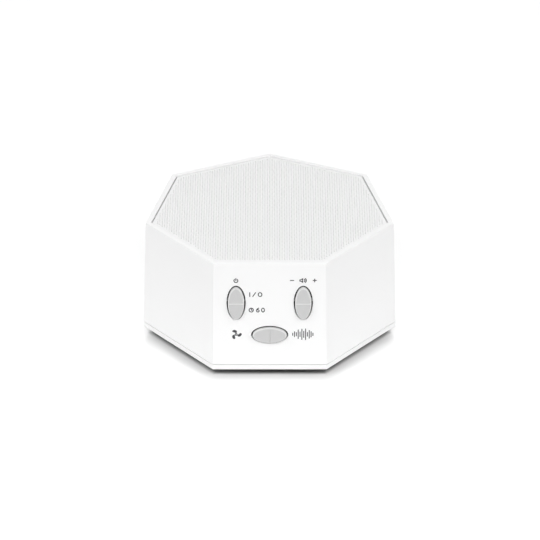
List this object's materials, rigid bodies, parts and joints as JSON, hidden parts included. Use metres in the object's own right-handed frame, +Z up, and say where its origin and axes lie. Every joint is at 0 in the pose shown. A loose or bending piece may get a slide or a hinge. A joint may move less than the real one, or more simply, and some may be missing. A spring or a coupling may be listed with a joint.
{
  "type": "white noise sound machine",
  "caption": "Seven-sided table-top sound machine: moulded housing, perforated metal grille over an upward-firing speaker, elliptical rocker buttons, rubber feet.",
  "frame": {"origin": "middle of the object's outline on the surface it stands on, under the feet", "axes": "+Z up, -Y out of the front facet with the buttons, +X to the right seen from the front"},
  "size_m": [0.112, 0.1103, 0.0554],
  "materials": {
    "white_abs": "satin moulded, fine grain",
    "white_sheet": "white powder coat on perforated steel",
    "white_cloth": "thin woven acoustic cloth",
    "grey_abs": "satin moulded",
    "foot_rubber": "matt",
    "black_abs": "moulded",
    "silicone": "matt translucent grey",
    "board_green": "solder mask over glass fibre",
    "chip_black": "moulded",
    "can_aluminium": "drawn can",
    "natural_nylon": "natural nylon",
    "ribbon_white": "laminated flat cable",
    "lead_red": "insulation",
    "steel": "zinc plated",
    "basket_black": "black lacquer on pressed steel",
    "ferrite": "sintered ferrite",
    "copper": "enamelled copper winding",
    "former_foil": "coil former foil",
    "cone_paper": "pressed black paper",
    "surround_rubber": "half-roll",
    "spider_cloth": "resin dipped cloth",
    "gasket_foam": "closed-cell foam",
    "phenolic": "phenolic paper",
    "plated_brass": "tin plated",
    "pin_chrome": "nickel plated"
  },
  "bodies": {
    "casing": {"housing": "white_abs", "base_cover": "white_abs", "rubber_feet": "foot_rubber", "base_screws": "steel", "speaker_grille": "white_sheet", "grille_cloth": "white_cloth", "speaker_basket": "basket_black", "speaker_gasket": "gasket_foam", "speaker_top_plate": "steel", "speaker_magnet": "ferrite", "speaker_yoke": "steel", "speaker_surround": "surround_rubber", "speaker_spider": "spider_cloth", "speaker_terminals": "phenolic", "speaker_tags": "plated_brass", "speaker_screws": "steel", "button_carrier": "black_abs", "button_keypad": "silicone", "control_board": "board_green", "control_board_screws": "steel", "main_board": "board_green", "main_board_screws": "steel", "dc_jack_body": "black_abs", "dc_jack_pin": "pin_chrome", "dc_jack_spring": "plated_brass", "sound_chip": "chip_black", "amplifier_chip": "chip_black", "capacitors": "can_aluminium", "ribbon_sockets": "natural_nylon", "ribbon_cable": "ribbon_white", "speaker_header": "natural_nylon", "speaker_leads": "lead_red"},
    "power_button": {"power_rocker": "grey_abs"},
    "volume_button": {"volume_rocker": "grey_abs"},
    "sound_button": {"sound_rocker": "grey_abs"},
    "speaker_motor": {"speaker_cone": "cone_paper", "dust_cap": "cone_paper", "coil_former": "former_foil", "voice_coil": "copper"}
  },
  "joints": [
    {"name": "power_tilt", "type": "hinge", "parent": "casing", "child": "power_button", "pos_m": [-0.01455, -0.04978, 0.03629], "axis": [-1, 0, 0], "range_deg": [-5, 5], "stiffness_Nm_per_rad": 0.08, "deforming": ["button_keypad"]},
    {"name": "volume_tilt", "type": "hinge", "parent": "casing", "child": "volume_button", "pos_m": [0.01455, -0.04978, 0.03629], "axis": [-1, 0, 0], "range_deg": [-5, 5], "stiffness_Nm_per_rad": 0.08, "deforming": ["button_keypad"]},
    {"name": "sound_tilt", "type": "hinge", "parent": "casing", "child": "sound_button", "pos_m": [0, -0.05022, 0.0208], "axis": [0, 0.0286, 0.9996], "range_deg": [-5, 5], "stiffness_Nm_per_rad": 0.08, "deforming": ["button_keypad"]},
    {"name": "cone_travel", "type": "slide", "parent": "casing", "child": "speaker_motor", "axis": [0, 0, 1], "range_m": [-0.0015, 0.0015], "stiffness_N_per_m": 1400, "deforming": ["speaker_surround", "speaker_spider"]}
  ]
}
